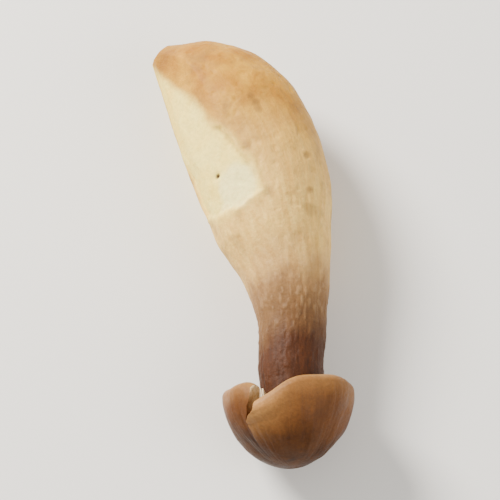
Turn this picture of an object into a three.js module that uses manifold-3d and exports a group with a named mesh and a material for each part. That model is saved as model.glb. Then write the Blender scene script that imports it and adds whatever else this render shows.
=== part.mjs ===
// A termite mushroom as picked, with its foot trimmed by a knife, lying on its side.
// Millimetres, +Z up. The cap points to -Y and the trimmed foot to +Y. The origin is on the
// surface that the mushroom lies on, under the middle of its bounding box.
// It has three pieces: the swollen stem, the cap, and the gills that line the cap.
import * as THREE from "three";
import { mergeVertices } from "three/addons/utils/BufferGeometryUtils.js";
import Module from "manifold-3d";

const wasm = await Module();
wasm.setup();

// Cap, in its own frame: its axis is +Z, towards the crown, and its widest ring is at 0.
const CAP_RADIUS = 12.4;
const CROWN_HEIGHT = 13.6;
const CROWN_DRAW = 1.14; // 1 is an ellipse, and more draws the crown to a blunt point
const MARGIN_RADIUS = 1.6; // of the rolled-in margin's rounding
const MARGIN_DROP = 0.6; // how far the rounding's middle hangs below the widest ring
const CEILING_HEIGHT = 6; // underside of the flesh, over the stem
const CEILING_RADIUS = 7; // the flat that the stem meets
const CAP_CENTRE_HEIGHT = 12.4; // above the surface that the mushroom lies on
const CAP_DROOP = THREE.MathUtils.degToRad(4);
const CAP_YAW = THREE.MathUtils.degToRad(4);

// The split in the cap's margin, at an angle round the cap from +X towards the top. The margin
// is drawn back towards the crown on the near side of it.
const SPLIT_ANGLE = THREE.MathUtils.degToRad(124);
const SPLIT_WIDTH = 1.6;
const SPLIT_LENGTH = 7;
const DRAWN_BACK = 3.4;
const DRAWN_SPREAD = THREE.MathUtils.degToRad(38);

const GILL_COUNT = 40;
const GILL_THICKNESS = 0.4;
const GILL_BED = 0.6; // thickness of the layer that the gills grow from

const GAP = 0.3; // between neighbouring pieces

// Stem: its middle line from the trimmed foot to the neck, counted from the middle of the
// cap's widest ring, and its half width and half height before the foot is trimmed.
const STEM_STATIONS = [
  { x: -25.4, y: 70.2, z: 13.2, wide: 3.4, high: 3.2 },
  { x: -22.6, y: 67.5, z: 13.0, wide: 7.4, high: 6.8 },
  { x: -18.2, y: 63.9, z: 12.8, wide: 10.8, high: 9.8 },
  { x: -12.2, y: 58.8, z: 12.4, wide: 13.2, high: 12.2 },
  { x: -7.2, y: 51.0, z: 12.2, wide: 13.4, high: 12.9 },
  { x: -4.2, y: 42.5, z: 12.2, wide: 13.0, high: 12.8 },
  { x: -2.3, y: 34.0, z: 12.2, wide: 11.4, high: 11.6 },
  { x: -0.2, y: 25.0, z: 12.4, wide: 8.7, high: 8.9 },
  { x: 0.8, y: 16.0, z: 12.5, wide: 6.8, high: 6.9 },
];
const NECK_RADIUS = 6;
const TOP_RADIUS = 5.5;
const NECK_OFFSET = 0.9; // of the neck from the cap's axis, towards +X

// Knife strokes that trimmed the foot: the way each one faces, in degrees round the stem from
// +X towards the top, the share of the stem's length at which it leaves the skin, and how
// near the middle line it passes at the foot.
const KNIFE_STROKES = [
  { faces: 142, leaves: 0.5, ends: 2.0 },
  { faces: 170, leaves: 0.49, ends: 2.0 },
  { faces: 212, leaves: 0.44, ends: 2.0 },
  { faces: 258, leaves: 0.34, ends: 2.0 },
  { faces: 310, leaves: 0.2, ends: 2.6 },
];
const TRIMMED_SHARE = 0.7; // of the stem's length, past which no stroke reaches

const STEM_SIDES = 36;
const STEM_RINGS = 40;
const CAP_SIDES = 40;
const CROWN_RINGS = 12;

// ---- frames ----

// The turned frame that holds the cap and its gills.
function capFrame() {
  const frame = new THREE.Object3D();
  frame.rotation.set(Math.PI / 2 + CAP_DROOP, 0, CAP_YAW, "ZYX");
  frame.position.set(0, 0, CAP_CENTRE_HEIGHT);
  frame.updateMatrixWorld();
  return frame.matrixWorld;
}

// The middle of the neck at a height in the cap's frame, given in the mushroom's frame.
function neckMiddle(height) {
  return new THREE.Vector3(NECK_OFFSET, 0, height).applyMatrix4(capFrame());
}

// ---- solids ----

// A closed solid from a geometry, with its seams merged.
function solidOf(geometry) {
  const bare = geometry.clone();
  bare.deleteAttribute("normal");
  bare.deleteAttribute("uv");
  const merged = mergeVertices(bare, 1e-4);
  const mesh = new wasm.Mesh({
    numProp: 3,
    vertProperties: merged.attributes.position.array,
    triVerts: new Uint32Array(merged.index.array),
  });
  return new wasm.Manifold(mesh);
}

// A geometry from a solid.
function geometryOf(solid) {
  const mesh = solid.getMesh();
  const geometry = new THREE.BufferGeometry();
  geometry.setAttribute("position", new THREE.BufferAttribute(mesh.vertProperties, 3));
  geometry.setIndex(new THREE.BufferAttribute(mesh.triVerts, 1));
  return geometry;
}

// A geometry turned about +Z from a closed outline of radius and height.
function turned(outline) {
  return new THREE.LatheGeometry(outline, CAP_SIDES).rotateX(Math.PI / 2);
}

// A closed skin over rings of points, with a fan at each end.
function loft(rings) {
  const sides = rings[0].length;
  const centre = (ring) =>
    ring.reduce((sum, point) => sum.add(point), new THREE.Vector3()).divideScalar(sides);
  const points = [...rings.flat(), centre(rings[0]), centre(rings.at(-1))];
  const start = rings.length * sides;
  const end = start + 1;
  const lastRing = start - sides;
  const index = [];
  for (let side = 0; side < sides; side++) {
    const next = (side + 1) % sides;
    index.push(start, next, side, end, lastRing + side, lastRing + next);
    for (let a = 0; a < lastRing; a += sides) {
      const b = a + sides;
      index.push(a + side, a + next, b + next, a + side, b + next, b + side);
    }
  }
  return new THREE.BufferGeometry().setFromPoints(points).setIndex(index);
}

// ---- stem ----

// Curves for the stem's middle line and its girth, which share one parameter from foot to top.
function stemCurves() {
  const line = STEM_STATIONS.map(({ x, y, z }) => new THREE.Vector3(x, y, z));
  const girth = STEM_STATIONS.map(({ wide, high }) => new THREE.Vector3(wide, high, 0));
  line.push(neckMiddle(-3 * MARGIN_RADIUS), neckMiddle(CEILING_HEIGHT - GAP));
  girth.push(new THREE.Vector3(NECK_RADIUS, NECK_RADIUS, 0));
  girth.push(new THREE.Vector3(TOP_RADIUS, TOP_RADIUS, 0));
  return { line: new THREE.CatmullRomCurve3(line), girth: new THREE.CatmullRomCurve3(girth) };
}

// The stem's cross-section at a share of its length: its middle, the way out at an angle
// from +X towards the top, and the untrimmed radius at that angle.
function stemSection({ line, girth }, along) {
  const middle = line.getPoint(along);
  const forward = line.getTangent(along);
  const sideways = new THREE.Vector3(0, 0, 1).cross(forward).normalize();
  const upward = forward.cross(sideways);
  const { x: wide, y: high } = girth.getPoint(along);
  const outward = (angle) =>
    new THREE.Vector3()
      .addScaledVector(sideways, Math.cos(angle))
      .addScaledVector(upward, Math.sin(angle));
  const radius = (angle) =>
    (wide * high) / Math.hypot(high * Math.cos(angle), wide * Math.sin(angle));
  const skin = (angle) => outward(angle).multiplyScalar(radius(angle)).add(middle);
  return { middle, outward, radius, skin };
}

// The flat that a knife stroke leaves, as a plane that faces away from the stem.
function knifePlane(curves, { faces, leaves, ends }) {
  const angle = THREE.MathUtils.degToRad(faces);
  const start = stemSection(curves, leaves);
  const foot = stemSection(curves, 0);
  const from = start.skin(angle);
  const to = foot.outward(angle).multiplyScalar(ends).add(foot.middle);
  const across = start.outward(angle + Math.PI / 2);
  const facing = to.sub(from).cross(across).normalize();
  return new THREE.Plane().setFromNormalAndCoplanarPoint(facing, from);
}

// How far out the skin is at an angle, once it has been cut back to every plane.
function trimmedRadius({ middle, outward, radius }, angle, planes) {
  const cuts = planes.map((plane) => {
    const facing = plane.normal.dot(outward(angle));
    return facing > 0 ? -plane.distanceToPoint(middle) / facing : Infinity;
  });
  return Math.min(radius(angle), ...cuts);
}

function stem() {
  const curves = stemCurves();
  const restingPlane = new THREE.Plane(new THREE.Vector3(0, 0, -1), 0);
  const strokes = KNIFE_STROKES.map((stroke) => knifePlane(curves, stroke));
  const rings = [];
  for (let ring = 0; ring <= STEM_RINGS; ring++) {
    const along = ring / STEM_RINGS;
    const section = stemSection(curves, along);
    const planes = along < TRIMMED_SHARE ? [restingPlane, ...strokes] : [restingPlane];
    const points = [];
    for (let side = 0; side < STEM_SIDES; side++) {
      const angle = (2 * Math.PI * side) / STEM_SIDES;
      const radius = trimmedRadius(section, angle, planes);
      points.push(section.outward(angle).multiplyScalar(radius).add(section.middle));
    }
    rings.push(points);
  }
  return loft(rings);
}

// ---- cap ----

// Points along the vault that the gills line, from the margin up to the ceiling, drawn in
// towards the stem by an inset.
function vault(inset) {
  const inside = CAP_RADIUS - 2 * MARGIN_RADIUS;
  const curve = new THREE.QuadraticBezierCurve(
    new THREE.Vector2(inside - inset, -MARGIN_DROP),
    new THREE.Vector2(inside - inset, CEILING_HEIGHT - inset),
    new THREE.Vector2(CEILING_RADIUS - inset, CEILING_HEIGHT - inset),
  );
  return curve.getPoints(5);
}

// How far the margin is drawn back at an angle and a height in the cap's frame.
function drawnBack(angle, height) {
  const turn = (SPLIT_ANGLE - angle) / DRAWN_SPREAD;
  const share = THREE.MathUtils.clamp(1 - height / CEILING_HEIGHT, 0, 1);
  return turn < 0 ? 0 : DRAWN_BACK * Math.exp(-turn * turn) * share;
}

// A wedge that opens the margin along the split.
function splitWedge() {
  const mouth = -MARGIN_DROP - 2 * MARGIN_RADIUS;
  const outline = new THREE.Shape();
  outline.moveTo(-SPLIT_WIDTH / 2, mouth);
  outline.lineTo(SPLIT_WIDTH / 2, mouth);
  outline.lineTo(0, mouth + MARGIN_RADIUS + SPLIT_LENGTH);
  const size = { depth: 2 * CAP_RADIUS, bevelEnabled: false };
  const wedge = new THREE.ExtrudeGeometry(outline, size).rotateX(Math.PI / 2);
  return solidOf(wedge.rotateZ(Math.PI / 2 + SPLIT_ANGLE));
}

function cap() {
  const outline = [new THREE.Vector2(0, CEILING_HEIGHT), ...vault(0).reverse()];
  for (let i = 1; i <= 6; i++) {
    const turn = Math.PI * (1 + i / 6);
    const radius = CAP_RADIUS + MARGIN_RADIUS * (Math.cos(turn) - 1);
    outline.push(new THREE.Vector2(radius, MARGIN_RADIUS * Math.sin(turn) - MARGIN_DROP));
  }
  for (let i = 0; i < CROWN_RINGS; i++) {
    const turn = (Math.PI * i) / (2 * CROWN_RINGS);
    const radius = CAP_RADIUS * Math.cos(turn) ** CROWN_DRAW;
    const height = CROWN_HEIGHT * Math.sin(turn) ** CROWN_DRAW;
    outline.push(new THREE.Vector2(radius, height));
  }
  outline.push(new THREE.Vector2(0, CROWN_HEIGHT));
  const whole = turned(outline);
  const places = whole.attributes.position;
  for (let i = 0; i < places.count; i++) {
    const height = places.getZ(i);
    const angle = Math.atan2(places.getY(i), places.getX(i));
    places.setZ(i, height + drawnBack(angle, height));
  }
  return geometryOf(solidOf(whole).subtract(splitWedge())).applyMatrix4(capFrame());
}

// ---- gills ----

// One gill: a thin blade that hangs from the vault.
function gillBlade() {
  const near = TOP_RADIUS;
  const [margin, ...rest] = vault(GAP + GILL_BED / 2);
  const outline = new THREE.Shape([margin, ...rest]);
  outline.lineTo(near, rest.at(-1).y);
  outline.lineTo(near, CEILING_HEIGHT / 2);
  outline.quadraticCurveTo(near, margin.y, margin.x, margin.y);
  const size = { depth: GILL_THICKNESS, bevelEnabled: false, curveSegments: 4 };
  const blade = new THREE.ExtrudeGeometry(outline, size).translate(0, 0, -GILL_THICKNESS / 2);
  return solidOf(blade.rotateX(Math.PI / 2));
}

function gills() {
  const bed = [...vault(GAP), ...vault(GAP + GILL_BED).reverse()];
  const solids = [solidOf(turned([...bed, bed[0]]))];
  const blade = gillBlade();
  for (let i = 0; i < GILL_COUNT; i++) solids.push(blade.rotate([0, 0, (360 * i) / GILL_COUNT]));
  const room = new THREE.CylinderGeometry(NECK_RADIUS + 2 * GAP, NECK_RADIUS + 2 * GAP, 30, 40);
  room.rotateX(Math.PI / 2).translate(NECK_OFFSET, 0, 0);
  const clear = wasm.Manifold.union(solids).subtract(solidOf(room));
  return geometryOf(clear).applyMatrix4(capFrame());
}

// ---- the mushroom ----

function piece(name, geometry, color, roughness) {
  const material = new THREE.MeshStandardMaterial({ color, roughness, metalness: 0 });
  geometry.computeVertexNormals();
  const mesh = new THREE.Mesh(geometry, material);
  mesh.name = name;
  return mesh;
}

const mushroom = new THREE.Group();
mushroom.name = "termite_mushroom";
mushroom.add(
  piece("stem", stem(), 0xd8b68c, 0.75),
  piece("cap", cap(), 0x8f5f38, 0.6),
  piece("gills", gills(), 0xe4d3b8, 0.8),
);

const box = new THREE.Box3().setFromObject(mushroom);
const middle = box.getCenter(new THREE.Vector3());
for (const { geometry } of mushroom.children) geometry.translate(-middle.x, -middle.y, 0);

export default mushroom;
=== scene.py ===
"""A termite mushroom lying on its side: split brown cap, crowded gills, swollen trimmed stem.

Lengths in the tables are millimetres, counted from the middle of the cap's widest ring.
"""

import itertools
import math

import bpy
import numpy as np
from mathutils import Matrix, Vector


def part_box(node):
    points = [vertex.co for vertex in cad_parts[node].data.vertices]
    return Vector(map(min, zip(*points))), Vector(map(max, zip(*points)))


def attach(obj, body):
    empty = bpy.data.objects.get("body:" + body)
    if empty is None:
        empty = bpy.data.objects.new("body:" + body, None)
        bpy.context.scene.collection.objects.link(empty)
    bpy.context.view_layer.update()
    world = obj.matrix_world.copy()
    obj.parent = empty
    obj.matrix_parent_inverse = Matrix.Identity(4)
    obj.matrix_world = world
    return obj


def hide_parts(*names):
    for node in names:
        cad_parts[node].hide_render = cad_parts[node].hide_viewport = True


bl_info = {
    "name": "Termite Mushroom",
    "version": (1, 0, 0),
    "blender": (4, 5, 0),
    "location": "3D View > Sidebar > Mushroom",
    "description": "Builds a termite mushroom's stem, cap and gills on its packed frame",
    "category": "Add Mesh",
}

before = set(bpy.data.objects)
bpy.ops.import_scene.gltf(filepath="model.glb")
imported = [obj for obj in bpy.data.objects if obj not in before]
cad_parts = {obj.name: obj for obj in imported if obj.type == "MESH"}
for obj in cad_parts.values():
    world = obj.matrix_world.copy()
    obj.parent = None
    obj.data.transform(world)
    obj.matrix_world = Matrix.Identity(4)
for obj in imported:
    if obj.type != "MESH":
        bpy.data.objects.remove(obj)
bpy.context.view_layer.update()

CAP_LOW, CAP_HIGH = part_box("cap")
CAP_RADIUS = 12.4
CROWN_HEIGHT = 13.6
CROWN_DRAW = 1.14
MARGIN_RADIUS = 1.6
MARGIN_DROP = 0.6
CEILING_HEIGHT = 6.0
CEILING_RADIUS = 7.0
GAP = 0.3
CAP_DROOP = math.radians(4)
CAP_YAW = math.radians(4)
SPLIT_ANGLE = math.radians(124)

MM = (CAP_HIGH.x - CAP_LOW.x) / 2 / CAP_RADIUS
CAP_CENTRE = Vector(
    (
        (CAP_LOW.x + CAP_HIGH.x) / 2,
        CAP_LOW.y + CROWN_HEIGHT * MM * math.cos(CAP_DROOP) * math.cos(CAP_YAW),
        (CAP_LOW.z + CAP_HIGH.z) / 2,
    )
)
CAP_TURN = Matrix.Rotation(CAP_YAW, 3, "Z") @ Matrix.Rotation(math.pi / 2 + CAP_DROOP, 3, "X")
FLOOR = -CAP_CENTRE.z / MM

# The stem's middle line from the trimmed foot to the neck, with its half width and half height.
STEM_STATIONS = [
    (-25.4, 70.2, 0.8, 3.4, 3.2),
    (-22.6, 67.5, 0.6, 7.4, 6.8),
    (-18.2, 63.9, 0.4, 10.8, 9.8),
    (-12.2, 58.8, 0.0, 13.2, 12.2),
    (-7.2, 51.0, -0.2, 13.4, 12.9),
    (-4.2, 42.5, -0.2, 13.0, 12.8),
    (-2.3, 34.0, -0.2, 11.4, 11.6),
    (-0.2, 25.0, 0.0, 8.7, 8.9),
    (0.8, 16.0, 0.1, 6.8, 6.9),
]
NECK_RADIUS = 6.0
TOP_RADIUS = 5.5
NECK_OFFSET = 0.9

# The knife strokes that trimmed the foot: the way each one faces, in degrees round the stem
# from +X towards the top, where it leaves the skin as a share of the stem's length, how near
# the middle line it passes at the foot, and how hollow it is.
KNIFE_STROKES = [
    (142, 0.50, 2.0, 0.25),
    (170, 0.485, 2.0, 0.30),
    (212, 0.43, 2.0, 0.35),
    (236, 0.38, 2.0, 0.20),
    (262, 0.34, 2.1, 0.35),
    (310, 0.2, 2.6, 0.20),
]
TRIMMED_SHARE = 0.66

# The border of the strip of skin peeled off the upper left, seen from above the cap's end:
# across, and along towards the foot.
VIEW_RISE = math.radians(70)
PEELED_STRIP = [
    (-32.0, 66.0),
    (-27.6, 63.2),
    (-25.2, 60.8),
    (-22.8, 59.0),
    (-17.6, 55.4),
    (-12.2, 50.4),
    (-8.0, 45.9),
    (-5.6, 42.4),
    (-4.9, 39.4),
    (-7.0, 37.4),
    (-10.6, 35.6),
    (-13.6, 33.6),
    (-30.0, 33.0),
]

# Brown bruises on the upper side: across, along towards the foot, size, depth of colour.
BRUISES = [
    (-7.0, 57.6, 0.9, 0.70),
    (-6.1, 56.5, 0.9, 0.80),
    (-5.6, 55.1, 0.9, 0.70),
    (-8.0, 47.8, 1.3, 0.70),
    (-3.9, 39.0, 1.5, 0.75),
    (3.7, 46.1, 0.8, 0.70),
    (4.3, 39.4, 0.9, 0.80),
]


# ---- shapes in numbers ----


def smooth(low, high, value):
    """0 below low, 1 above high, and an even blend between; low may be the greater."""
    share = np.clip((value - low) / (high - low), 0, 1)
    return share * share * (3 - 2 * share)


def noise(points, size, seed):
    """Smooth noise from 0 to 1, whose features are about size across."""
    place = points / size + 37.7 * (seed + 1)
    cell = np.floor(place).astype(np.int64)
    share = place - cell
    share = share * share * (3 - 2 * share)
    total = np.zeros(len(place))
    for corner in itertools.product((0, 1), repeat=3):
        at = cell + corner
        value = (at[:, 0] * 73856093) ^ (at[:, 1] * 19349663) ^ (at[:, 2] * 83492791)
        value = (value ^ (value >> 13)) * 1274126177
        value = ((value ^ (value >> 16)) & 0xFFFF) / 0xFFFF
        total += value * np.prod(np.where(corner, share, 1 - share), axis=1)
    return total


def fractal(points, size, seed, octaves=4):
    """Noise from 0 to 1 with finer noise over it."""
    weights = [0.5**octave for octave in range(octaves)]
    layers = [noise(points, size * w, seed + k) * w for k, w in enumerate(weights)]
    return sum(layers) / sum(weights)


def smooth_curve(stations, count):
    """Rows spread evenly along a smooth curve through the stations, and their distances."""
    stations = np.array(stations, float)
    steps = np.linalg.norm(np.diff(stations[:, :3], axis=0), axis=1)
    at = np.concatenate([[0], np.cumsum(steps)])
    slopes = np.gradient(stations, at, axis=0)
    along = np.linspace(0, at[-1], count)
    start = np.clip(np.searchsorted(at, along, side="right") - 1, 0, len(at) - 2)
    width = (at[start + 1] - at[start])[:, None]
    t = (along - at[start])[:, None] / width
    rows = (2 * t**3 - 3 * t**2 + 1) * stations[start]
    rows += (t**3 - 2 * t**2 + t) * width * slopes[start]
    rows += (3 * t**2 - 2 * t**3) * stations[start + 1]
    rows += (t**3 - t**2) * width * slopes[start + 1]
    return rows, along


def unit(vectors):
    return vectors / np.linalg.norm(vectors, axis=-1, keepdims=True)


def inside_outline(across, along, outline):
    """How far inside a closed outline each place is, and how far outside as a minus."""
    nearest = np.full(across.shape, np.inf)
    inside = np.zeros(across.shape, bool)
    for (ax, ay), (bx, by) in zip(outline, outline[1:] + outline[:1]):
        dx, dy = bx - ax, by - ay
        share = np.clip(((across - ax) * dx + (along - ay) * dy) / (dx * dx + dy * dy), 0, 1)
        nearest = np.minimum(nearest, np.hypot(across - ax - share * dx, along - ay - share * dy))
        if dy:
            crosses = (ay > along) != (by > along)
            inside ^= crosses & (across < ax + (along - ay) / dy * dx)
    return np.where(inside, nearest, -nearest)


def grid_faces(rows, columns):
    """Quads over a grid of points that closes on itself across the columns."""
    row, column = np.meshgrid(np.arange(rows - 1), np.arange(columns), indexing="ij")
    nearer = row * columns
    following = (column + 1) % columns
    corners = [nearer + column, nearer + following]
    corners += [nearer + columns + following, nearer + columns + column]
    return np.stack([corner.ravel() for corner in corners], axis=1).tolist()


def row_from_cap(points):
    """Points of the cap's own frame, whose axis is +Z towards the crown, in millimetres."""
    return np.asarray(points, float) @ np.array(CAP_TURN).T


# ---- meshes ----


def make_mesh(name, points, faces, material):
    """A mesh with its faces outward, from points counted in millimetres from the cap."""
    points = np.asarray(points, float) * MM + np.array(CAP_CENTRE)
    first = points[[face[0] for face in faces]]
    volume = 0.0
    for step in (1, 2):
        second = points[[face[step] for face in faces]]
        third = points[[face[min(step + 1, len(face) - 1)] for face in faces]]
        volume += np.einsum("ij,ij->", first, np.cross(second, third))
    if volume < 0:
        faces = [face[::-1] for face in faces]
    mesh = bpy.data.meshes.new(name)
    mesh.from_pydata(points.tolist(), [], faces)
    mesh.shade_smooth()
    mesh.set_sharp_from_angle(angle=math.radians(50))
    mesh.materials.append(material)
    return mesh


def add_values(mesh, name, values, kind="FLOAT", domain="POINT"):
    """A named attribute that the materials read."""
    attribute = mesh.attributes.new(name, kind, domain)
    key = "vector" if kind == "FLOAT_VECTOR" else "value"
    attribute.data.foreach_set(key, np.asarray(values, np.float32).ravel())


def add_piece(name, mesh, node):
    """The finished piece, riding on the frame in place of its CAD node."""
    piece = bpy.data.objects.new(name, mesh)
    bpy.context.scene.collection.objects.link(piece)
    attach(piece, "root")
    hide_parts(node)
    return piece


# ---- materials ----


def place(tree, kind, links=None, **settings):
    """A node with its settings, and a value or a link for each named or numbered input."""
    node = tree.nodes.new(kind)
    for key, value in settings.items():
        setattr(node, key, value)
    for key, value in (links or {}).items():
        if isinstance(value, bpy.types.NodeSocket):
            tree.links.new(value, node.inputs[key])
        else:
            node.inputs[key].default_value = value
    return node


def colour_mix(tree, share, first, second, blend="MIX"):
    links = {0: share, 6: first, 7: second}
    return place(tree, "ShaderNodeMix", links, data_type="RGBA", blend_type=blend).outputs[2]


def value_map(tree, value, low, high, to_low=0.0, to_high=1.0):
    links = {"Value": value, "From Min": low, "From Max": high}
    links.update({"To Min": to_low, "To Max": to_high})
    return place(tree, "ShaderNodeMapRange", links).outputs["Result"]


def calculate(tree, operation, first, second):
    return place(tree, "ShaderNodeMath", {0: first, 1: second}, operation=operation).outputs[0]


def attribute(tree, name, output="Fac"):
    return place(tree, "ShaderNodeAttribute", attribute_name=name).outputs[output]


def new_group(name, inputs, outputs):
    """An empty shader group with its sockets, and its input and output nodes."""
    group = bpy.data.node_groups.new(name, "ShaderNodeTree")
    for socket, kind, default in inputs:
        made = group.interface.new_socket(socket, in_out="INPUT", socket_type=kind)
        if default is not None:
            made.default_value = default
    for socket, kind in outputs:
        group.interface.new_socket(socket, in_out="OUTPUT", socket_type=kind)
    return group, group.nodes.new("NodeGroupInput"), group.nodes.new("NodeGroupOutput")


def fibre_group():
    """Fine threads that run along the grain, as a mask and as a height."""
    group, given, result = new_group(
        "Mushroom Fibres",
        [("Grain", "NodeSocketVector", None), ("Fineness", "NodeSocketFloat", 900.0)],
        [("Mask", "NodeSocketFloat"), ("Height", "NodeSocketFloat")],
    )
    links = {"Vector": given.outputs["Grain"], "Scale": given.outputs["Fineness"]}
    links.update({"Detail": 5.0, "Roughness": 0.62, "Distortion": 0.35})
    threads = place(group, "ShaderNodeTexNoise", links).outputs["Fac"]
    group.links.new(value_map(group, threads, 0.36, 0.66), result.inputs["Mask"])
    group.links.new(threads, result.inputs["Height"])
    return group


def mottle_group():
    """Soft blotches of two sizes, as one mask."""
    group, given, result = new_group(
        "Mushroom Mottle",
        [("Size", "NodeSocketFloat", 140.0), ("Offset", "NodeSocketFloat", 0.0)],
        [("Mask", "NodeSocketFloat"), ("Fine", "NodeSocketFloat")],
    )
    where = place(group, "ShaderNodeTexCoord").outputs["Object"]
    shifted = place(group, "ShaderNodeVectorMath", {0: where, 1: given.outputs["Offset"]})
    links = {"Vector": shifted.outputs[0], "Scale": given.outputs["Size"]}
    links.update({"Detail": 4.0, "Roughness": 0.6, "Distortion": 0.5})
    broad = place(group, "ShaderNodeTexNoise", links).outputs["Fac"]
    finer = calculate(group, "MULTIPLY", given.outputs["Size"], 9.0)
    links = {"Vector": shifted.outputs[0], "Scale": finer, "Detail": 3.0, "Roughness": 0.7}
    fine = place(group, "ShaderNodeTexNoise", links).outputs["Fac"]
    group.links.new(value_map(group, broad, 0.36, 0.66), result.inputs["Mask"])
    group.links.new(value_map(group, fine, 0.35, 0.68), result.inputs["Fine"])
    return group


def shared(builder, name):
    return bpy.data.node_groups.get(name) or builder()


def new_material(name):
    """A material with the shared effects placed in it."""
    material = bpy.data.materials.new(name)
    material.use_nodes = True
    tree = material.node_tree
    shader = tree.nodes["Principled BSDF"]
    fibres = place(tree, "ShaderNodeGroup", node_tree=shared(fibre_group, "Mushroom Fibres"))
    mottle = place(tree, "ShaderNodeGroup", node_tree=shared(mottle_group, "Mushroom Mottle"))
    tree.links.new(attribute(tree, "grain", "Vector"), fibres.inputs["Grain"])
    return material, tree, shader, fibres, mottle


def add_bump(tree, shader, height, distance, strength):
    links = {"Height": height, "Distance": distance, "Strength": strength}
    bump = place(tree, "ShaderNodeBump", links)
    tree.links.new(bump.outputs["Normal"], shader.inputs["Normal"])


def stem_material(settings):
    """Tan skin, beige above the bulb, brown scaly neck deepened towards the cap partly as painted
    shade and held paler on its left side as painted light, and pale flesh where it was cut.
    """
    material, tree, shader, fibres, mottle = new_material("Mushroom stem")
    mottle.inputs["Size"].default_value = 130.0
    blotch, fine = mottle.outputs["Mask"], mottle.outputs["Fine"]
    thread = fibres.outputs["Mask"]
    bulb = colour_mix(tree, blotch, (0.37, 0.15, 0.009, 1), settings.bulb)
    beige = colour_mix(tree, thread, (0.68, 0.41, 0.10, 1), (0.80, 0.53, 0.15, 1))
    skin = colour_mix(tree, attribute(tree, "beige"), bulb, beige)
    stained = calculate(tree, "MULTIPLY", attribute(tree, "stain"), 0.75)
    skin = colour_mix(tree, stained, skin, (0.21, 0.105, 0.030, 1))
    pale_neck = colour_mix(tree, thread, (0.40, 0.215, 0.080, 1), (0.50, 0.29, 0.115, 1))
    # Near the cap the brown goes very dark: partly the neck's own colour, partly painted shade
    # under the cap.
    dark_neck_and_shade = colour_mix(tree, thread, settings.neck, (0.070, 0.020, 0.004, 1))
    neck = attribute(tree, "neck")
    deep = calculate(tree, "POWER", value_map(tree, neck, 0.30, 0.93), 0.64)
    brown = colour_mix(tree, deep, pale_neck, dark_neck_and_shade)
    skin = colour_mix(tree, value_map(tree, neck, 0.06, 0.46), skin, brown)
    flesh = colour_mix(tree, blotch, (0.96, 0.69, 0.15, 1), settings.flesh)
    flesh = colour_mix(tree, attribute(tree, "cream"), flesh, (0.98, 0.85, 0.34, 1))
    peel = attribute(tree, "peel")
    colour = colour_mix(tree, peel, skin, flesh)
    grain = value_map(tree, fine, 0.0, 1.0, 0.9, 1.06)
    colour = colour_mix(tree, 1.0, colour, grain, "MULTIPLY")
    flecks = calculate(tree, "MULTIPLY", attribute(tree, "fleck"), 0.12)
    colour = colour_mix(tree, flecks, colour, (0.62, 0.42, 0.22, 1))
    colour = colour_mix(tree, attribute(tree, "speck"), colour, (0.05, 0.025, 0.012, 1))
    tree.links.new(colour, shader.inputs["Base Color"])
    rough = value_map(tree, peel, 0.0, 1.0, 0.58, 0.68)
    tree.links.new(rough, shader.inputs["Roughness"])
    shader.inputs["Specular IOR Level"].default_value = 0.2
    shader.inputs["Subsurface Weight"].default_value = 0.12
    shader.inputs["Subsurface Radius"].default_value = (1.0, 0.55, 0.3)
    shader.inputs["Subsurface Scale"].default_value = 0.0015
    pores = calculate(tree, "MULTIPLY", fine, 0.5)
    height = calculate(tree, "ADD", fibres.outputs["Height"], pores)
    add_bump(tree, shader, height, 0.0003, 0.4)
    return material


def cap_material(settings):
    """Tan at the margin, red-brown at the crown and darker still there and on the lobe beside the
    split as painted shade, lighter on the body's side of the split as painted light, with threads
    towards the margin.
    """
    material, tree, shader, fibres, mottle = new_material("Mushroom cap")
    mottle.inputs["Size"].default_value = 170.0
    mottle.inputs["Offset"].default_value = 3.1
    blotch, fine = mottle.outputs["Mask"], mottle.outputs["Fine"]
    thread = fibres.outputs["Mask"]
    tan = colour_mix(tree, thread, (0.122, 0.043, 0.009, 1), settings.margin)
    orange = colour_mix(tree, thread, (0.072, 0.022, 0.005, 1), (0.090, 0.030, 0.007, 1))
    # The darkest colour, at the crown: partly the crown's own red-brown, partly painted shade
    # where the crown faces away from the light.
    dark_crown_and_shade = colour_mix(tree, thread, settings.crown, (0.026, 0.007, 0.0015, 1))
    crown = attribute(tree, "crown")
    colour = colour_mix(tree, value_map(tree, crown, 0.05, 0.45), tan, orange)
    colour = colour_mix(tree, value_map(tree, crown, 0.50, 0.95), colour, dark_crown_and_shade)
    wear = calculate(tree, "MULTIPLY", blotch, 0.35)
    colour = colour_mix(tree, wear, colour, (0.17, 0.060, 0.012, 1))
    # The pale values lighten the body's side of the split as painted light, and the margin a
    # little.
    colour = colour_mix(tree, attribute(tree, "pale"), colour, (0.44, 0.22, 0.070, 1))
    colour = colour_mix(tree, attribute(tree, "rim"), colour, (0.42, 0.23, 0.080, 1))
    flesh = colour_mix(tree, fine, (0.64, 0.44, 0.21, 1), (0.82, 0.66, 0.40, 1))
    colour = colour_mix(tree, attribute(tree, "flesh"), colour, flesh)
    grain = value_map(tree, fine, 0.0, 1.0, 0.86, 1.08)
    colour = colour_mix(tree, 1.0, colour, grain, "MULTIPLY")
    tree.links.new(colour, shader.inputs["Base Color"])
    tree.links.new(value_map(tree, blotch, 0.0, 1.0, 0.40, 0.55), shader.inputs["Roughness"])
    shader.inputs["Specular IOR Level"].default_value = 0.14
    shader.inputs["Subsurface Weight"].default_value = 0.06
    shader.inputs["Subsurface Radius"].default_value = (1.0, 0.4, 0.2)
    shader.inputs["Subsurface Scale"].default_value = 0.0012
    pores = calculate(tree, "MULTIPLY", fine, 0.4)
    height = calculate(tree, "ADD", fibres.outputs["Height"], pores)
    add_bump(tree, shader, height, 0.0003, 0.35)
    return material


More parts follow.
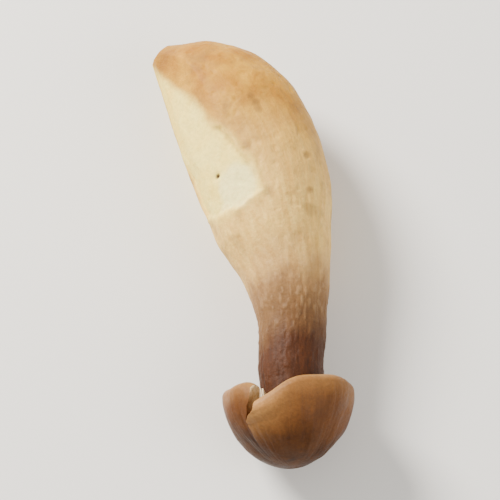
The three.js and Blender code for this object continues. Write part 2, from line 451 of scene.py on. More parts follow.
def gill_material(settings):
    """Cream blades, a little browner along their free edges."""
    material, tree, shader, fibres, mottle = new_material("Mushroom gills")
    mottle.inputs["Size"].default_value = 260.0
    cream = colour_mix(tree, mottle.outputs["Fine"], (0.70, 0.54, 0.34, 1), settings.cream)
    colour = colour_mix(tree, attribute(tree, "edge"), cream, (0.64, 0.46, 0.27, 1))
    tree.links.new(colour, shader.inputs["Base Color"])
    shader.inputs["Roughness"].default_value = 0.6
    add_bump(tree, shader, fibres.outputs["Height"], 0.0001, 0.3)
    return material


# ---- stem ----


def stem_rows(count):
    """The stem's middle line and girth, and the distance of each row from the foot."""
    heights = (-3 * MARGIN_RADIUS, CEILING_HEIGHT - GAP)
    ends = row_from_cap([(NECK_OFFSET, 0, height) for height in heights])
    girths = (NECK_RADIUS, TOP_RADIUS)
    tips = [(*end, girth, girth) for end, girth in zip(ends.tolist(), girths)]
    return smooth_curve(STEM_STATIONS + tips, count)


def knife_cuts(middle, outward, skin, seed):
    """How far out each stroke leaves the flesh, and infinity where it cuts nothing."""
    rows, columns = outward.shape[:2]
    share = np.linspace(0, 1, rows)[:, None]
    nearest = np.full((rows, columns), np.inf)
    for number, (faces, leaves, ends, hollow) in enumerate(KNIFE_STROKES):
        column = round(faces / 360 * columns) % columns
        row = round(leaves * (rows - 1))
        start = middle[row] + outward[row, column] * skin[row, column]
        end = middle[0] + outward[0, column] * ends
        across = outward[row, (column + columns // 4) % columns]
        facing = unit(np.cross(end - start, across))
        lean = outward @ facing
        reach = (start - middle) @ facing
        with np.errstate(divide="ignore", invalid="ignore"):
            cut = np.where(lean > 0.15, reach[:, None] / lean, np.inf)
        places = middle[:, None] + outward * np.minimum(cut, skin)[..., None]
        offset = (places - start) @ across
        waves = fractal(places.reshape(-1, 3), 5.0, seed + number, 3).reshape(rows, columns)
        cut = cut - hollow * (1 - smooth(0, 5.5, np.abs(offset))) + 0.5 * (waves - 0.5)
        nearest = np.minimum(nearest, np.where(share < TRIMMED_SHARE, cut, np.inf))
    return nearest


def build_stem(settings):
    """The swollen stem, with its lumps, threads, neck scales and knife cuts."""
    rows, columns = settings.rings, settings.sides
    line, along = stem_rows(rows)
    middle = line[:, :3]
    forward = unit(np.gradient(middle, axis=0))
    sideways = unit(np.cross((0, 0, 1), forward))
    upward = np.cross(forward, sideways)
    angle = np.linspace(0, 2 * math.pi, columns, endpoint=False)
    cosine, sine = np.cos(angle), np.sin(angle)
    outward = sideways[:, None] * cosine[:, None] + upward[:, None] * sine[:, None]
    wide, high = line[:, 3:4], line[:, 4:5]
    skin = wide * high / np.hypot(high * cosine, wide * sine)

    places = (middle[:, None] + outward * skin[..., None]).reshape(-1, 3)
    from_cap = places[:, 1].reshape(rows, columns)
    distance = np.broadcast_to(along[:, None], skin.shape)
    grain = np.stack([skin * cosine, skin * sine, distance * 0.09], axis=-1).reshape(-1, 3)

    def over(values):
        return values.reshape(rows, columns)

    inside = smooth(-6, 3, from_cap)
    lumps = over(fractal(places, 9.0, settings.seed, 3)) - 0.5
    ripples = over(fractal(grain, 2.2, settings.seed + 5, 3)) - 0.5
    threads = over(fractal(grain, 0.55, settings.seed + 9, 2)) - 0.5
    pits = smooth(0.74, 0.86, over(noise(places, 1.5, settings.seed + 13)))
    tall = np.stack([skin * cosine, skin * sine, distance * 0.45], axis=-1).reshape(-1, 3)
    scales = smooth(0.52, 0.8, over(noise(tall, 0.5, settings.seed + 17)))
    # Keeps the neck's brown off its left side: painted light on the side the key light falls on.
    left = smooth(0.2, 1.0, -cosine)[None]
    streak = over(fractal(grain, 1.3, settings.seed + 21, 4)) - 0.5
    patchy = over(fractal(places, 3.2, settings.seed + 25, 4)) - 0.5
    neck = smooth(37, 4, from_cap + 2 * streak + 5 * patchy + 3 * left)
    bulb = 1 - smooth(0.0, 0.4, neck)
    relief = settings.relief / MM
    fine = (0.2 - 0.14 * neck) * ripples + (0.12 - 0.05 * neck) * threads
    skin = skin + inside * relief * (lumps + fine)
    skin = skin - 0.14 * relief * pits * bulb
    skin = skin + 0.10 * relief * scales * smooth(0.25, 0.7, neck)
    high_up = places[:, 1] * math.sin(VIEW_RISE) + places[:, 2] * math.cos(VIEW_RISE)
    within = over(inside_outline(places[:, 0], high_up, PEELED_STRIP))
    within = within + 2.4 * (over(fractal(places, 4.2, settings.seed + 60, 4)) - 0.5)
    within = np.where(sine > -0.1, within, -9.0)
    ridge = np.exp(-(((within + 0.3) / 0.5) ** 2))
    skin = skin - 0.85 * smooth(-0.1, 1.1, within) + 0.18 * ridge

    cut = knife_cuts(middle, outward, skin, settings.seed + 30)
    depth = skin - cut
    soft = settings.edge / MM
    lower = np.minimum(skin, cut)
    blend = np.clip(soft - np.abs(depth), 0, None)
    trimmed = lower - blend * blend / (4 * soft)
    points = (middle[:, None] + outward * trimmed[..., None]).reshape(-1, 3)
    sunk = np.clip(FLOOR - points[:, 2], 0, None)
    points[:, 2] += sunk

    ragged = 1.5 * (over(fractal(places, 3.0, settings.seed + 40, 4)) - 0.5)
    peel = smooth(-0.2, 0.6, depth + ragged) * smooth(0.0, -0.25, sine)
    peel = np.maximum(peel, smooth(-1.8, 2.0, within) * over(smooth(66, 58, high_up)))
    peel = np.maximum(peel, over(smooth(0.05, 0.4, sunk)))
    spot = np.hypot(points[:, 0] + 13.6, points[:, 1] - 41.9)
    above = points[:, 2] > 0
    dent = np.exp(-((spot / 0.55) ** 2)) * above
    points -= outward.reshape(-1, 3) * (0.5 * dent)[:, None]
    blotches = over(fractal(places, 2.6, settings.seed + 50, 3))
    stain = 0.5 * smooth(0.54, 0.78, blotches) * bulb
    stain = np.maximum(stain, smooth(3.2, 0.6, np.abs(distance - 1.5)) * 0.4)
    wander = 0.7 * (fractal(places, 1.6, settings.seed + 80, 3) - 0.5)
    for across, up, size, depth_of in BRUISES:
        reach = np.hypot(places[:, 0] - across, high_up - up) / size + wander
        stain = np.maximum(stain, over(depth_of * smooth(1.2, 0.3, reach) * above))
    patch = np.hypot((points[:, 0] + 9.4) / 3.9, (points[:, 1] - 38.8) / 4.6)
    patch = patch + 0.5 * (fractal(places, 2.4, settings.seed + 70, 3) - 0.5)
    cream = smooth(1.15, 0.75, patch) * above

    faces = grid_faces(rows, columns)
    last = rows * columns
    for ring, tip in ((0, last), (rows - 1, last + 1)):
        start = ring * columns
        order = 1 if ring else -1
        for column in range(columns):
            pair = (start + column, start + (column + 1) % columns)
            faces.append([*pair[::order], tip])
    ends = [points[:columns].mean(axis=0), points[last - columns : last].mean(axis=0)]
    mesh = make_mesh("Stem", np.vstack([points, ends]), faces, stem_material(settings))

    def with_ends(values, start, end):
        return np.concatenate([np.asarray(values).ravel(), [start, end]])

    add_values(mesh, "peel", with_ends(peel, 0.9, 0.0))
    add_values(mesh, "neck", with_ends(neck, 0.0, 1.0))
    add_values(mesh, "beige", with_ends(smooth(62, 34, from_cap + 8 * lumps), 0.0, 1.0))
    add_values(mesh, "stain", with_ends(stain, 0.4, 0.0))
    add_values(mesh, "cream", with_ends(cream, 0.0, 0.0))
    fleck = smooth(0.35, 0.9, scales) * smooth(0.05, 0.3, neck) * smooth(0.95, 0.6, neck)
    add_values(mesh, "fleck", with_ends(fleck, 0.0, 0.0))
    add_values(mesh, "speck", with_ends(smooth(0.35, 0.8, dent), 0.0, 0.0))
    grain = np.vstack([grain, grain[0], grain[-1]]) * 0.001
    add_values(mesh, "grain", grain, "FLOAT_VECTOR")
    return add_piece("stem_skin", mesh, "stem")


# ---- cap ----


def cap_outline(count):
    """Radius and height from the crown over the margin and the vault to the ceiling."""
    turn = np.linspace(math.pi / 2, 0, count)[1:]
    crown = np.stack([np.cos(turn) ** CROWN_DRAW, np.sin(turn) ** CROWN_DRAW], axis=1)
    crown *= (CAP_RADIUS, CROWN_HEIGHT)
    turn = np.linspace(0, -math.pi, count // 3)
    roll = np.stack([np.cos(turn), np.sin(turn)], axis=1) * MARGIN_RADIUS
    roll += (CAP_RADIUS - MARGIN_RADIUS, -MARGIN_DROP)
    inside = CAP_RADIUS - 2 * MARGIN_RADIUS
    t = np.linspace(0, 1, count // 3)[1:, None]
    vault = (1 - t) ** 2 * (inside, -MARGIN_DROP) + 2 * t * (1 - t) * (inside, CEILING_HEIGHT)
    vault += t**2 * (CEILING_RADIUS, CEILING_HEIGHT)
    ceiling = np.linspace((CEILING_RADIUS, CEILING_HEIGHT), (0.6, CEILING_HEIGHT), 8)[1:]
    outline = np.vstack([crown, roll, vault, ceiling])
    side = np.concatenate([np.zeros(len(crown)), np.linspace(0, 1, len(roll))])
    return outline, np.concatenate([side, np.full(len(vault) + len(ceiling), 1.0)])


def margin_lift(before, height, drawn_back):
    """How far the margin is drawn back towards the crown, short of the split by an angle."""
    low = np.clip(1 - height / CEILING_HEIGHT, 0, 1)
    return drawn_back / MM * np.exp(-((before / math.radians(38)) ** 2)) * low


def build_cap(settings):
    """The closed bell, torn at one side, with its margin rolled in."""
    outline, side = cap_outline(settings.rings)
    rows, columns = len(outline), settings.sides
    radius, height = outline[:, :1], outline[:, 1:]
    foot = -MARGIN_DROP - MARGIN_RADIUS
    top = np.where(side[:, None] > 0.5, CEILING_HEIGHT - 1.2, settings.split_height / MM)
    open_share = np.clip((top - height) / (top - foot), 0, 1)
    gap_angle = settings.split_width / MM / CAP_RADIUS * open_share**1.4
    torn = np.flatnonzero(open_share[:, 0] > 0)
    first, last = torn[0] - 1, torn[-1] + 1

    share = np.linspace(0, 1, columns + 1)
    turn = gap_angle / 2 + (2 * math.pi - gap_angle) * share
    line = smooth(-4, 9, height)
    wander = fractal(outline[:, [0, 1, 1]], 2.0, 3)[:, None] - 0.5
    split = SPLIT_ANGLE + 0.30 * line + 0.06 * wander
    angle = split + turn
    before = 2 * math.pi - turn

    low = np.clip(1 - height / CEILING_HEIGHT, 0, 1)
    near_lobe = np.exp(-((turn / math.radians(17)) ** 2))
    near_body = np.exp(-((before / math.radians(17)) ** 2))
    lift = 0.9 * np.exp(-((turn / math.radians(7)) ** 2))
    lift = lift + 0.5 * np.exp(-((before / math.radians(6)) ** 2))
    lift = lift + 0.35 * np.sin(3 * angle + 0.6) + 0.2 * np.sin(7 * angle)
    tall = np.clip((7 - height) / 8, 0, 1)
    out = tall * (0.15 * near_body - 0.85 * near_lobe)

    direction = np.stack([np.cos(angle), np.sin(angle)], axis=-1)
    flat = radius[..., None] * direction
    level = np.broadcast_to(height[..., None], angle.shape + (1,))
    places = np.concatenate([flat, level], axis=-1)
    where = places.reshape(-1, 3)

    def over(values):
        return values.reshape(angle.shape)

    # lumps, ripples and threads of the skin
    lumps = over(fractal(where, 7.0, settings.seed, 3)) - 0.5
    along = 0.12 * np.hypot(radius - 30, height) + 0 * angle
    grain = np.concatenate([CAP_RADIUS * direction, along[..., None]], axis=-1).reshape(-1, 3)
    ripples = over(fractal(grain, 1.7, settings.seed + 4, 3)) - 0.5
    threads = over(fractal(grain, 0.5, settings.seed + 8, 2)) - 0.5
    spread = smooth(0, 6, radius)
    relief = settings.relief / MM * spread
    swell = relief * (lumps + (0.24 * ripples + 0.08 * threads) * smooth(2, 9, radius))
    outer = 1 - side[:, None]
    flat = (radius + out + swell * (outer * 0.85 + 0.15))[..., None] * direction
    rise = height + margin_lift(before, height, settings.drawn_back) + lift * low
    rise = rise + swell * smooth(0, 12, height) * outer
    rise = rise - 0.5 * np.exp(-((radius / 2.2) ** 2)) * outer * over(fractal(where, 3.0, 2))
    points = np.concatenate([flat, rise[..., None]], axis=-1)
    points[:, -1] = np.where(open_share > 0, points[:, -1], points[:, 0])

    # one number for each point, which both sides of the seam share where it isn't torn
    number = np.arange(rows * (columns + 1)).reshape(rows, columns + 1)
    whole = open_share[:, 0] <= 0
    number[whole, -1] = number[whole, 0]
    faces = []
    for row in range(rows - 1):
        for column in range(columns):
            nearer, farther = number[row], number[row + 1]
            pair = (nearer[column], farther[column], farther[column + 1], nearer[column + 1])
            faces.append([int(corner) for corner in pair])
    skin_faces = len(faces)
    chain = list(range(first, last + 1))
    for column, order in ((0, 1), (columns, -1)):
        for step in range(len(chain) // 2):
            a, b = chain[step], chain[step + 1]
            c, d = chain[-2 - step], chain[-1 - step]
            if b >= c:
                corners = [number[a, column], number[b, column], number[d, column]]
            else:
                corners = [number[i, column] for i in (a, b, c, d)]
            if len(set(corners)) > 2:
                faces.append([int(corner) for corner in corners[:: -order]])
            if b >= c:
                break
    total = rows * (columns + 1)
    for row, tip, order in ((0, total, 1), (rows - 1, total + 1, -1)):
        for column in range(columns):
            pair = [int(number[row, column]), int(number[row, column + 1])]
            faces.append([tip, *pair[::order]])
    crown_tip = points[0, :-1].mean(axis=0) + (0, 0, 0.01)
    ceiling_tip = points[-1, :-1].mean(axis=0)
    cloud = row_from_cap(np.vstack([points.reshape(-1, 3), crown_tip, ceiling_tip]))
    cloud[:, 2] = np.maximum(cloud[:, 2], FLOOR)

    used = np.zeros(len(cloud), bool)
    used[[corner for face in faces for corner in face]] = True
    renumber = np.cumsum(used) - 1
    faces = [[int(renumber[corner]) for corner in face] for face in faces]
    mesh = make_mesh("Cap", cloud[used], faces, cap_material(settings))

    crown = height / CROWN_HEIGHT + 0.25 * lumps
    # Raised near the lobe beside the split, so the lobe takes the dark crown colour: painted shade
    # on the lobe.
    crown = np.clip(crown + 0.3 * np.exp(-((turn / math.radians(45)) ** 2)), 0, 1)
    uneven = 0.35 + 0.5 * over(noise(where, 1.6, 6))
    rim = np.exp(-(((side[:, None] - 0.45) / 0.22) ** 2)) * uneven
    flesh = smooth(0.86, 1.0, side[:, None]) + 0 * angle
    # Lighter on the body's side of the split: painted light where the light falls on the cap's
    # left edge; the second term makes the margin a little lighter.
    pale = np.exp(-((before / math.radians(34)) ** 2)) * smooth(10.5, 2, height + 4 * lumps)
    pale = np.maximum(pale, 0.35 * smooth(3.5, -1.5, height + 4 * lumps))

    def kept(values, crown_value, ceiling_value):
        return np.concatenate([values.ravel(), [crown_value, ceiling_value]])[used]

    add_values(mesh, "crown", kept(crown, 1.0, 0.0))
    add_values(mesh, "rim", kept(rim, 0.0, 0.0))
    add_values(mesh, "pale", kept(0.8 * pale, 0.0, 0.0))
    grain = np.vstack([grain, grain[0], grain[-1]])[used] * 0.001
    add_values(mesh, "grain", grain, "FLOAT_VECTOR")
    by_point = kept(flesh, 0.0, 1.0)
    owner = np.zeros(len(mesh.loops), np.int64)
    mesh.loops.foreach_get("vertex_index", owner)
    by_corner = by_point[owner]
    # The split's walls keep the skin's brown except near the margin: painted shade where the split
    # closes into a crease; only near the margin do they show pale flesh.
    paler_below = 0.75 * smooth(2.0, -1.8, height) + 0 * angle
    wall = kept(paler_below, 0.0, 0.0)[owner]
    for polygon in mesh.polygons[skin_faces : len(faces) - 2 * columns]:
        corners = list(polygon.loop_indices)
        by_corner[corners] = wall[corners]
    add_values(mesh, "flesh", by_corner, domain="CORNER")
    return add_piece("cap_skin", mesh, "cap")


# ---- gills ----


def vault_line(inset, count):
    """The line that the gills hang from, in radius and height, drawn in by an inset."""
    inside = CAP_RADIUS - 2 * MARGIN_RADIUS - inset
    t = np.linspace(0, 1, count)[:, None]
    ceiling = CEILING_HEIGHT - inset
    line = (1 - t) ** 2 * (inside, -MARGIN_DROP) + 2 * t * (1 - t) * (inside, ceiling)
    return line + t**2 * (CEILING_RADIUS - inset, ceiling)


def blade_mesh(thickness):
    """One thin blade across the cap's radius, in metres, thinner at its free edge."""
    hung = vault_line(GAP + 0.3, 7)
    t = np.linspace(0, 1, 7)[:, None]
    near = np.array((CEILING_RADIUS - GAP - 0.9, CEILING_HEIGHT - GAP - 0.3))
    bend = np.array((6.5, 0.6))
    free = (1 - t) ** 2 * near + 2 * t * (1 - t) * bend + t**2 * hung[0]
    strip = [(hung[6 - k], free[k]) for k in range(7)]
    points, edge = [], []
    for outer, inner in strip:
        middle = (outer + inner) / 2
        for (r, h), thin, free_edge in ((outer, 1.0, 0), (middle, 0.75, 0), (inner, 0.35, 1)):
            for way in (-0.5, 0.5):
                points.append((r * MM, way * thin * thickness, h * MM))
                edge.append(float(free_edge))
    faces = []
    for k in range(6):
        a, b = 6 * k, 6 * (k + 1)
        faces.append([a + 1, a, b, b + 1])
        for step in (0, 2):
            faces.append([a + step, a + step + 2, b + step + 2, b + step])
            faces.append([a + step + 1, b + step + 1, b + step + 3, a + step + 3])
        faces.append([a + 4, a + 5, b + 5, b + 4])
    faces += [[0, 1, 3, 2], [2, 3, 5, 4], [37, 36, 38, 39], [39, 38, 40, 41]]
    mesh = bpy.data.meshes.new("Gill blade")
    mesh.from_pydata(points, [], faces)
    add_values(mesh, "edge", edge)
    return mesh


def gill_tree():
    """Geometry nodes that set long and short blades alternately round the neck."""
    tree = bpy.data.node_groups.new("Gill Ring", "GeometryNodeTree")
    sockets = [
        ("Geometry", "NodeSocketGeometry"),
        ("Long Gills", "NodeSocketInt"),
        ("Short Reach", "NodeSocketFloat"),
        ("Outer Radius", "NodeSocketFloat"),
        ("Jitter", "NodeSocketFloat"),
        ("Neck Offset", "NodeSocketFloat"),
        ("Neck Room", "NodeSocketFloat"),
        ("Seed", "NodeSocketInt"),
        ("Material", "NodeSocketMaterial"),
    ]
    for name, kind in sockets:
        tree.interface.new_socket(name, in_out="INPUT", socket_type=kind)
    tree.interface.new_socket("Geometry", in_out="OUTPUT", socket_type="NodeSocketGeometry")
    given, result = tree.nodes.new("NodeGroupInput"), tree.nodes.new("NodeGroupOutput")
    value = given.outputs
    where = place(tree, "GeometryNodePoints", {"Count": value["Long Gills"]}).outputs[0]
    index = place(tree, "GeometryNodeInputIndex").outputs[0]
    step = calculate(tree, "DIVIDE", 2 * math.pi, value["Long Gills"])

    shrink = place(tree, "ShaderNodeCombineXYZ", {0: value["Short Reach"], 1: 1.0, 2: 0.62})
    rest = calculate(tree, "SUBTRACT", 1.0, value["Short Reach"])
    slide = calculate(tree, "MULTIPLY", value["Outer Radius"], rest)
    shift = place(tree, "ShaderNodeCombineXYZ", {0: slide})
    links = {"Geometry": value["Geometry"], "Translation": shift.outputs[0]}
    links["Scale"] = shrink.outputs[0]
    short = place(tree, "GeometryNodeTransform", links).outputs[0]

    rings = []
    for blade, phase, salt in ((value["Geometry"], 0.0, 0), (short, 0.5, 7)):
        seed = calculate(tree, "ADD", value["Seed"], float(salt))
        links = {2: -0.5, 3: 0.5, "Seed": seed}
        stray = place(tree, "FunctionNodeRandomValue", links, data_type="FLOAT").outputs[1]
        stray = calculate(tree, "MULTIPLY", stray, value["Jitter"])
        at = calculate(tree, "ADD", calculate(tree, "ADD", index, phase), stray)
        turn = place(tree, "ShaderNodeCombineXYZ", {2: calculate(tree, "MULTIPLY", at, step)})
        turn = place(tree, "FunctionNodeEulerToRotation", {0: turn.outputs[0]}).outputs[0]
        links = {"Points": where, "Instance": blade, "Rotation": turn}
        rings.append(place(tree, "GeometryNodeInstanceOnPoints", links).outputs[0])
    joined = tree.nodes.new("GeometryNodeJoinGeometry")
    for ring in rings:
        tree.links.new(ring, joined.inputs[0])
    solid = place(tree, "GeometryNodeRealizeInstances", {0: joined.outputs[0]}).outputs[0]

    here = place(tree, "GeometryNodeInputPosition").outputs[0]
    axis = place(tree, "ShaderNodeCombineXYZ", {0: value["Neck Offset"]}).outputs[0]
    away = place(tree, "ShaderNodeVectorMath", {0: here, 1: axis}, operation="SUBTRACT")
    links = {0: away.outputs[0], 1: (1, 1, 0)}
    level = place(tree, "ShaderNodeVectorMath", links, operation="MULTIPLY").outputs[0]
    length = place(tree, "ShaderNodeVectorMath", {0: level}, operation="LENGTH").outputs["Value"]
    short_by = calculate(tree, "SUBTRACT", value["Neck Room"], length)
    push = calculate(tree, "MAXIMUM", short_by, 0.0)
    way = place(tree, "ShaderNodeVectorMath", {0: level}, operation="NORMALIZE").outputs[0]
    links = {0: way, "Scale": push}
    move = place(tree, "ShaderNodeVectorMath", links, operation="SCALE").outputs[0]
    solid = place(tree, "GeometryNodeSetPosition", {"Geometry": solid, "Offset": move}).outputs[0]
    links = {"Geometry": solid, "Material": value["Material"]}
    solid = place(tree, "GeometryNodeSetMaterial", links).outputs[0]
    tree.links.new(solid, result.inputs[0])
    return tree


def bed_mesh(material):
    """The thin layer of flesh that the gills grow from, in the cap's frame."""
    outline = np.vstack([vault_line(GAP, 12), vault_line(GAP + 0.6, 12)[::-1]])
    columns = 160
    angle = np.linspace(0, 2 * math.pi, columns, endpoint=False)
    ring = list(zip(np.cos(angle), np.sin(angle)))
    points = [(r * c, r * s, h) for r, h in outline * MM for c, s in ring]
    faces = grid_faces(len(outline), columns)
    last = (len(outline) - 1) * columns
    for column in range(columns):
        following = (column + 1) % columns
        faces.append([last + column, last + following, following, column])
    mesh = bpy.data.meshes.new("Gill bed")
    mesh.from_pydata(points, [], faces)
    mesh.materials.append(material)
    add_values(mesh, "edge", np.zeros(len(points)))
    return mesh


def build_gills(settings):
    """The ring of blades and the layer they grow from, as one piece."""
    material = gill_material(settings)
    holder = bpy.data.objects.new("Gill ring", blade_mesh(settings.thickness))
    bpy.context.scene.collection.objects.link(holder)
    modifier = holder.modifiers.new("Gills", "NODES")
    modifier.node_group = gill_tree()
    values = {
        "Long Gills": settings.count,
        "Short Reach": settings.short_reach,
        "Outer Radius": (CAP_RADIUS - 2 * MARGIN_RADIUS - GAP - 0.3) * MM,
        "Jitter": settings.jitter,
        "Neck Offset": NECK_OFFSET * MM,
        "Neck Room": (NECK_RADIUS + 2 * GAP) * MM,
        "Seed": settings.seed,
        "Material": material,
    }
    for item in modifier.node_group.interface.items_tree:
        if item.in_out == "INPUT" and item.name in values:
            modifier[item.identifier] = values[item.name]
    graph = bpy.context.evaluated_depsgraph_get()
    ring = bpy.data.meshes.new_from_object(holder.evaluated_get(graph), depsgraph=graph)
    if not ring.polygons:
        raise RuntimeError("the gill ring came out empty")
    bpy.data.objects.remove(holder)
    parts = [bpy.data.objects.new(mesh.name, mesh) for mesh in (ring, bed_mesh(material))]
    for part in parts:
        bpy.context.scene.collection.objects.link(part)
    with bpy.context.temp_override(active_object=parts[0], selected_editable_objects=parts):
        bpy.ops.object.join()
    mesh = parts[0].data
    bpy.data.objects.remove(parts[0])
    places = np.zeros(len(mesh.vertices) * 3)
    mesh.vertices.foreach_get("co", places)
    places = places.reshape(-1, 3)
    before = (SPLIT_ANGLE - np.arctan2(places[:, 1], places[:, 0])) % (2 * math.pi)
    places[:, 2] += margin_lift(before, places[:, 2] / MM, settings.drawn_back) * MM
    mesh.vertices.foreach_set("co", places.ravel())
    mesh.transform(Matrix.Translation(CAP_CENTRE) @ CAP_TURN.to_4x4())
    add_values(mesh, "grain", places, "FLOAT_VECTOR")
    mesh.shade_smooth()
    mesh.set_sharp_from_angle(angle=math.radians(40))
    return add_piece("gill_blades", mesh, "gills")


# ---- stage ----


def aim(thing, target):
    thing.rotation_euler = (Vector(target) - thing.location).to_track_quat("-Z", "Y").to_euler()


def add_light(name, location, target, power, size, colour):
    lamp = bpy.data.lights.new(name, "AREA")
    lamp.energy = power
    lamp.shape = "DISK"
    lamp.size = size
    lamp.color = colour
    thing = bpy.data.objects.new(name, lamp)
    thing.location = location
    bpy.context.scene.collection.objects.link(thing)
    aim(thing, target)


def build_stage(settings):
    """A pale floor, soft light from the left, and the camera."""
    material = bpy.data.materials.new("Pale floor")
    material.use_nodes = True
    shader = material.node_tree.nodes["Principled BSDF"]
    shader.inputs["Base Color"].default_value = settings.floor
    shader.inputs["Roughness"].default_value = 0.9
    mesh = bpy.data.meshes.new("Floor")
    mesh.from_pydata([(-3, -3, 0), (3, -3, 0), (3, 3, 0), (-3, 3, 0)], [], [[0, 1, 2, 3]])
    mesh.materials.append(material)
    floor = bpy.data.objects.new("floor", mesh)
    bpy.context.scene.collection.objects.link(floor)

    middle = (0, 0, 0.012)
    add_light("Key", (-0.38, 0.32, 0.40), middle, settings.key, 0.26, (1.0, 0.95, 0.87))
    add_light("Fill", (0.45, -0.25, 0.45), middle, settings.fill, 0.5, (1.0, 0.96, 0.90))
    world = bpy.data.worlds.new("Studio")
    world.use_nodes = True
    sky = world.node_tree.nodes["Background"]
    sky.inputs["Color"].default_value = (1.0, 0.97, 0.92, 1)
    sky.inputs["Strength"].default_value = settings.sky
    bpy.context.scene.world = world

    lens = bpy.data.cameras.new("Camera")
    lens.angle = settings.view
    camera = bpy.data.objects.new("Camera", lens)
    rise = settings.elevation
    reach = Vector((0, -math.cos(rise), math.sin(rise))) * settings.distance
    camera.location = Vector(middle) + reach
    bpy.context.scene.collection.objects.link(camera)
    aim(camera, middle)
    bpy.context.scene.camera = camera


# ---- add-on ----


class StemSettings(bpy.types.PropertyGroup):
    rings: bpy.props.IntProperty(
        name="Rings", description="Rows of points from foot to top", default=300, min=20
    )
    sides: bpy.props.IntProperty(
        name="Sides", description="Points round each row", default=240, min=12
    )
    relief: bpy.props.FloatProperty(
        name="Relief", description="Height of the skin's lumps", default=0.0011, unit="LENGTH"
    )
    edge: bpy.props.FloatProperty(
        name="Cut edge",
        description="Rounding where a cut meets the skin",
        default=0.0005,
        unit="LENGTH",
    )
    bulb: bpy.props.FloatVectorProperty(
        name="Bulb",
        description="Skin of the swollen part",
        default=(0.57, 0.29, 0.027, 1),
        subtype="COLOR",
        size=4,
    )
    # Partly the neck's own dark brown, partly painted shade under the cap.
    neck: bpy.props.FloatVectorProperty(
        name="Neck",
        description="Darkest skin by the cap",
        default=(0.042, 0.011, 0.002, 1),
        subtype="COLOR",
        size=4,
    )
    flesh: bpy.props.FloatVectorProperty(
        name="Flesh",
        description="Where the skin was cut off",
        default=(0.98, 0.80, 0.23, 1),
        subtype="COLOR",
        size=4,
    )
    seed: bpy.props.IntProperty(name="Seed", description="Choice of lumps", default=4)


class CapSettings(bpy.types.PropertyGroup):
    rings: bpy.props.IntProperty(
        name="Rings", description="Rows of points from crown to margin", default=110, min=12
    )
    sides: bpy.props.IntProperty(
        name="Sides", description="Points round each row", default=380, min=12
    )
    relief: bpy.props.FloatProperty(
        name="Relief", description="Height of the skin's lumps", default=0.0009, unit="LENGTH"
    )
    split_width: bpy.props.FloatProperty(
        name="Split width", description="Opening at the margin", default=0.0014, unit="LENGTH"
    )
    split_height: bpy.props.FloatProperty(
        name="Split height",
        description="Reach above the widest ring",
        default=0.0068,
        unit="LENGTH",
    )
    drawn_back: bpy.props.FloatProperty(
        name="Drawn back",
        description="Rise of the margin beside the split",
        default=0.0034,
        unit="LENGTH",
    )
    margin: bpy.props.FloatVectorProperty(
        name="Margin",
        description="Skin at the margin",
        default=(0.152, 0.057, 0.013, 1),
        subtype="COLOR",
        size=4,
    )
    # Partly the crown's own red-brown, partly painted shade where the crown faces away from the
    # light.
    crown: bpy.props.FloatVectorProperty(
        name="Crown",
        description="Skin at the crown",
        default=(0.017, 0.004, 0.001, 1),
        subtype="COLOR",
        size=4,
    )
    seed: bpy.props.IntProperty(name="Seed", description="Choice of lumps", default=11)


class GillSettings(bpy.types.PropertyGroup):
    count: bpy.props.IntProperty(
        name="Long gills", description="Blades that reach the neck", default=72, min=3
    )
    thickness: bpy.props.FloatProperty(
        name="Thickness", description="Of a blade where it is hung", default=0.00026, unit="LENGTH"
    )
    short_reach: bpy.props.FloatProperty(
        name="Short reach",
        description="Short blades' share of a long one",
        default=0.6,
        subtype="FACTOR",
    )
    drawn_back: bpy.props.FloatProperty(
        name="Drawn back",
        description="Rise of the blades beside the split",
        default=0.0034,
        unit="LENGTH",
    )
    jitter: bpy.props.FloatProperty(
        name="Jitter",
        description="Unevenness as a share of the spacing",
        default=0.3,
        subtype="FACTOR",
    )
    cream: bpy.props.FloatVectorProperty(
        name="Cream",
        description="Sides of the blades",
        default=(0.86, 0.74, 0.55, 1),
        subtype="COLOR",
        size=4,
    )
    seed: bpy.props.IntProperty(name="Seed", description="Choice of unevenness", default=2)


class StageSettings(bpy.types.PropertyGroup):
    elevation: bpy.props.FloatProperty(
        name="Elevation",
        description="Camera above the floor",
        default=math.radians(70),
        subtype="ANGLE",
    )
    distance: bpy.props.FloatProperty(
        name="Distance", description="Camera to mushroom", default=0.40, unit="LENGTH"
    )
    view: bpy.props.FloatProperty(
        name="View",
        description="Camera's angle of view",
        default=math.radians(13.8),
        subtype="ANGLE",
    )
    key: bpy.props.FloatProperty(
        name="Key", description="Light from the left", default=12.0, unit="POWER"
    )
    fill: bpy.props.FloatProperty(
        name="Fill", description="Light from the right", default=2.6, unit="POWER"
    )
    floor: bpy.props.FloatVectorProperty(
        name="Floor",
        description="Plain floor",
        default=(0.80, 0.79, 0.77, 1),
        subtype="COLOR",
        size=4,
    )
    sky: bpy.props.FloatProperty(name="Sky", description="Light from all round", default=0.72)


class MUSHROOM_OT_stem(bpy.types.Operator):
    """Build the stem"""

    bl_idname = "mushroom.stem"
    bl_label = "Build Stem"

    def execute(self, context):
        build_stem(context.scene.mushroom_stem)
        return {"FINISHED"}


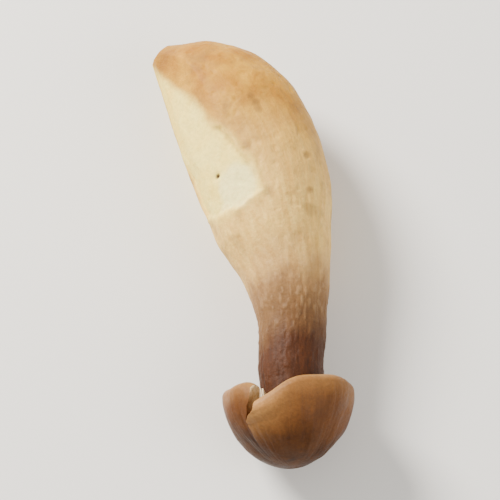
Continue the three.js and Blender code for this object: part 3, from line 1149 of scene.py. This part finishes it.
class MUSHROOM_OT_cap(bpy.types.Operator):
    """Build the cap"""

    bl_idname = "mushroom.cap"
    bl_label = "Build Cap"

    def execute(self, context):
        build_cap(context.scene.mushroom_cap)
        return {"FINISHED"}


class MUSHROOM_OT_gills(bpy.types.Operator):
    """Build the gills"""

    bl_idname = "mushroom.gills"
    bl_label = "Build Gills"

    def execute(self, context):
        build_gills(context.scene.mushroom_gills)
        return {"FINISHED"}


class MUSHROOM_OT_stage(bpy.types.Operator):
    """Set the floor, the lights and the camera"""

    bl_idname = "mushroom.stage"
    bl_label = "Set Stage"

    def execute(self, context):
        build_stage(context.scene.mushroom_stage)
        return {"FINISHED"}


class MUSHROOM_PT_panel(bpy.types.Panel):
    """The mushroom's settings and buttons"""

    bl_idname = "MUSHROOM_PT_panel"
    bl_label = "Termite Mushroom"
    bl_space_type = "VIEW_3D"
    bl_region_type = "UI"
    bl_category = "Mushroom"

    def draw(self, context):
        for name, group in SETTINGS.items():
            column = self.layout.box().column()
            settings = getattr(context.scene, f"mushroom_{name}")
            for key in group.__annotations__:
                column.prop(settings, key)
            column.operator(f"mushroom.{name}")


SETTINGS = {
    "stem": StemSettings,
    "cap": CapSettings,
    "gills": GillSettings,
    "stage": StageSettings,
}
OPERATORS = (MUSHROOM_OT_stem, MUSHROOM_OT_cap, MUSHROOM_OT_gills, MUSHROOM_OT_stage)


def register():
    for name, group in SETTINGS.items():
        bpy.utils.register_class(group)
        setattr(bpy.types.Scene, f"mushroom_{name}", bpy.props.PointerProperty(type=group))
    for operator in OPERATORS:
        bpy.utils.register_class(operator)
    bpy.utils.register_class(MUSHROOM_PT_panel)


def unregister():
    bpy.utils.unregister_class(MUSHROOM_PT_panel)
    for operator in reversed(OPERATORS):
        bpy.utils.unregister_class(operator)
    for name, group in reversed(SETTINGS.items()):
        delattr(bpy.types.Scene, f"mushroom_{name}")
        bpy.utils.unregister_class(group)


def main():
    register()
    bpy.ops.mushroom.stem()
    bpy.ops.mushroom.cap()
    bpy.ops.mushroom.gills()
    bpy.ops.mushroom.stage()


if __name__ == "__main__":
    main()
